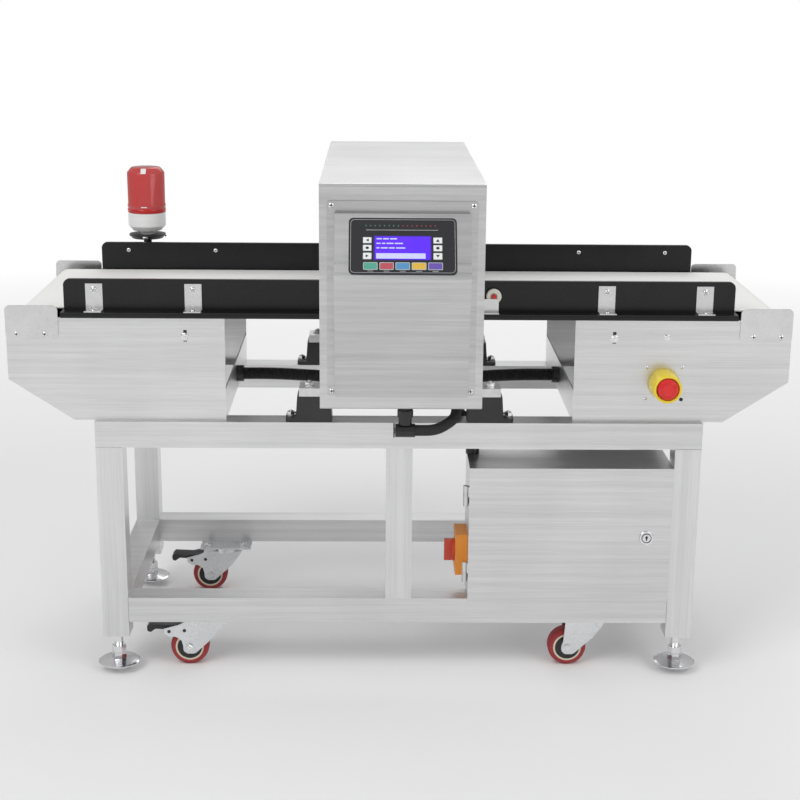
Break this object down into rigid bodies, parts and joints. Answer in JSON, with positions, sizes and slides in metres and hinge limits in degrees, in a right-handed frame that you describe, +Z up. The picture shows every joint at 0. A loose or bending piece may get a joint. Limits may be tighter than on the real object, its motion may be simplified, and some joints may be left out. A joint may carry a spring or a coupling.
{
  "type": "conveyor metal detector",
  "caption": "Conveyor metal detector: a belt conveyor with side guides runs through a detector head with a console, on a tube frame with castors, levelling feet, control cabinet and beacon",
  "frame": {"origin": "on the floor under the middle of the machine's bounding box", "axes": "+X along the belt, +Y from the console side to the back, +Z up"},
  "size_m": [1.456, 0.839, 0.9695],
  "materials": {
    "frame_steel": "satin brushed",
    "sheet_steel": "fine brushed",
    "zinc": "bright zinc",
    "chrome_steel": "polished",
    "black_steel": "black",
    "dark_red_tread": "polyurethane",
    "belt_white": "smooth",
    "black_plastic": "semi-gloss",
    "white_plastic": "satin",
    "resin": "cast resin",
    "copper": "wound wire",
    "panel_film": "gloss film",
    "grey_paint": "powder coat",
    "yellow_plastic": "gloss",
    "red_plastic": "gloss",
    "orange_plastic": "satin",
    "red_lens": "clear red",
    "green_board": "circuit board",
    "cable_black": "matte",
    "roller_steel": "turned",
    "cream_plastic": "satin"
  },
  "bodies": {
    "machine": {"aperture_liner": "white_plastic", "beacon_base": "white_plastic", "beacon_bracket": "black_steel", "beacon_lens": "red_lens", "cabinet_body": "sheet_steel", "cabinet_equipment": "grey_paint", "cabinet_hinges": "sheet_steel", "cable_glands": "black_plastic", "castor_plates": "zinc", "coil_potting": "resin", "console_cover": "sheet_steel", "control_panel": "panel_film", "conveyor_belt": "belt_white", "detector_coils": "copper", "detector_electronics": "green_board", "edge_strips": "black_plastic", "end_covers": "sheet_steel", "frame_legs": "frame_steel", "frame_rails": "frame_steel", "guide_brackets": "sheet_steel", "head_cable": "cable_black", "head_casing": "sheet_steel", "head_mount_bars": "sheet_steel", "head_mount_feet": "black_plastic", "housing_braces": "sheet_steel", "housing_conduit": "cable_black", "housing_plates": "sheet_steel", "isolator_base": "orange_plastic", "leg_plugs": "frame_steel", "nose_plates": "sheet_steel", "photo_eye": "cream_plastic", "photo_eye_bracket": "sheet_steel", "roller_shafts": "roller_steel", "side_guides": "black_plastic", "slider_bed": "white_plastic", "stop_collar": "yellow_plastic"},
    "castor_front_left": {"castor_fork_front_left": "zinc"},
    "wheel_front_left": {"castor_wheel_front_left": "dark_red_tread"},
    "foot_front_left": {"levelling_foot_front_left": "chrome_steel"},
    "castor_rear_left": {"castor_fork_rear_left": "zinc"},
    "wheel_rear_left": {"castor_wheel_rear_left": "dark_red_tread"},
    "foot_rear_left": {"levelling_foot_rear_left": "chrome_steel"},
    "castor_front_right": {"castor_fork_front_right": "zinc"},
    "wheel_front_right": {"castor_wheel_front_right": "dark_red_tread"},
    "foot_front_right": {"levelling_foot_front_right": "chrome_steel"},
    "castor_rear_right": {"castor_fork_rear_right": "zinc"},
    "wheel_rear_right": {"castor_wheel_rear_right": "dark_red_tread"},
    "foot_rear_right": {"levelling_foot_rear_right": "chrome_steel"},
    "pedal_front_left": {"castor_pedal_front_left": "black_steel"},
    "pedal_rear_left": {"castor_pedal_rear_left": "black_steel"},
    "drum": {"drive_drum": "roller_steel"},
    "end_roller_left_body": {"end_roller_left": "roller_steel"},
    "return_roller_left_body": {"return_roller_left": "roller_steel"},
    "end_roller_right_body": {"end_roller_right": "roller_steel"},
    "return_roller_right_body": {"return_roller_right": "roller_steel"},
    "door": {"cabinet_door": "sheet_steel"},
    "lock": {"door_lock": "chrome_steel"},
    "isolator": {"isolator_knob": "red_plastic"},
    "stop_plunger": {"stop_stem": "black_plastic"},
    "stop_head": {"stop_button": "red_plastic"}
  },
  "joints": [
    {"name": "castor_front_left_swivel", "type": "hinge", "parent": "machine", "child": "castor_front_left", "pos_m": [-0.372, -0.1545, 0.1], "axis": [0, 0, 1], "continuous": true},
    {"name": "castor_front_left_roll", "type": "hinge", "parent": "castor_front_left", "child": "wheel_front_left", "pos_m": [-0.409, -0.1545, 0.0375], "axis": [0, 1, 0], "continuous": true},
    {"name": "castor_rear_left_swivel", "type": "hinge", "parent": "machine", "child": "castor_rear_left", "pos_m": [-0.372, 0.2395, 0.1], "axis": [0, 0, 1], "continuous": true},
    {"name": "castor_rear_left_roll", "type": "hinge", "parent": "castor_rear_left", "child": "wheel_rear_left", "pos_m": [-0.409, 0.2395, 0.0375], "axis": [0, 1, 0], "continuous": true},
    {"name": "castor_front_right_swivel", "type": "hinge", "parent": "machine", "child": "castor_front_right", "pos_m": [0.372, -0.1545, 0.1], "axis": [0, 0, 1], "continuous": true},
    {"name": "castor_front_right_roll", "type": "hinge", "parent": "castor_front_right", "child": "wheel_front_right", "pos_m": [0.335, -0.1545, 0.0375], "axis": [0, 1, 0], "continuous": true},
    {"name": "castor_rear_right_swivel", "type": "hinge", "parent": "machine", "child": "castor_rear_right", "pos_m": [0.372, 0.2395, 0.1], "axis": [0, 0, 1], "continuous": true},
    {"name": "castor_rear_right_roll", "type": "hinge", "parent": "castor_rear_right", "child": "wheel_rear_right", "pos_m": [0.335, 0.2395, 0.0375], "axis": [0, 1, 0], "continuous": true},
    {"name": "pedal_front_press", "type": "hinge", "parent": "castor_front_left", "child": "pedal_front_left", "pos_m": [-0.448, -0.1545, 0.072], "axis": [0, -1, 0], "range_deg": [0, 8]},
    {"name": "pedal_rear_press", "type": "hinge", "parent": "castor_rear_left", "child": "pedal_rear_left", "pos_m": [-0.448, 0.2395, 0.072], "axis": [0, -1, 0], "range_deg": [0, 8]},
    {"name": "foot_front_left_screw", "type": "slide", "parent": "machine", "child": "foot_front_left", "axis": [0, 0, 1], "range_m": [-0.04, 0.02]},
    {"name": "foot_rear_left_screw", "type": "slide", "parent": "machine", "child": "foot_rear_left", "axis": [0, 0, 1], "range_m": [-0.04, 0.02]},
    {"name": "foot_front_right_screw", "type": "slide", "parent": "machine", "child": "foot_front_right", "axis": [0, 0, 1], "range_m": [-0.04, 0.02]},
    {"name": "foot_rear_right_screw", "type": "slide", "parent": "machine", "child": "foot_rear_right", "axis": [0, 0, 1], "range_m": [-0.04, 0.02]},
    {"name": "drum_spin", "type": "hinge", "parent": "machine", "child": "drum", "pos_m": [0.4955, 0.0425, 0.67], "axis": [0, 1, 0], "continuous": true},
    {"name": "end_roller_left_spin", "type": "hinge", "parent": "machine", "child": "end_roller_left_body", "pos_m": [-0.692, 0.0425, 0.6905], "axis": [0, 1, 0], "continuous": true},
    {"name": "return_roller_left_spin", "type": "hinge", "parent": "machine", "child": "return_roller_left_body", "pos_m": [-0.398, 0.0425, 0.67], "axis": [0, 1, 0], "continuous": true},
    {"name": "end_roller_right_spin", "type": "hinge", "parent": "machine", "child": "end_roller_right_body", "pos_m": [0.692, 0.0425, 0.6905], "axis": [0, 1, 0], "continuous": true},
    {"name": "return_roller_right_spin", "type": "hinge", "parent": "machine", "child": "return_roller_right_body", "pos_m": [0.398, 0.0425, 0.67], "axis": [0, 1, 0], "continuous": true},
    {"name": "door_swing", "type": "hinge", "parent": "machine", "child": "door", "pos_m": [0.126, -0.22, 0.29], "axis": [0, 0, -1], "range_deg": [0, 120]},
    {"name": "lock_turn", "type": "hinge", "parent": "door", "child": "lock", "pos_m": [0.47, -0.2305, 0.2885], "axis": [0, 1, 0], "range_deg": [0, 90]},
    {"name": "isolator_turn", "type": "hinge", "parent": "machine", "child": "isolator", "pos_m": [0.109, -0.1475, 0.2345], "axis": [-1, 0, 0], "range_deg": [0, 90]},
    {"name": "stop_press", "type": "slide", "parent": "machine", "child": "stop_plunger", "axis": [0, 1, 0], "range_m": [0, 0.005], "stiffness_N_per_m": 1500},
    {"name": "stop_twist", "type": "hinge", "parent": "stop_plunger", "child": "stop_head", "pos_m": [0.494, -0.1975, 0.5825], "axis": [0, -1, 0], "range_deg": [0, 45], "stiffness_Nm_per_rad": 0.05}
  ],
  "couplings": [
    {"joint": "end_roller_left_spin", "follows": "drum_spin", "ratio": 1.7022},
    {"joint": "return_roller_left_spin", "follows": "drum_spin", "ratio": -1.085},
    {"joint": "end_roller_right_spin", "follows": "drum_spin", "ratio": 1.7022},
    {"joint": "return_roller_right_spin", "follows": "drum_spin", "ratio": -1.085}
  ]
}
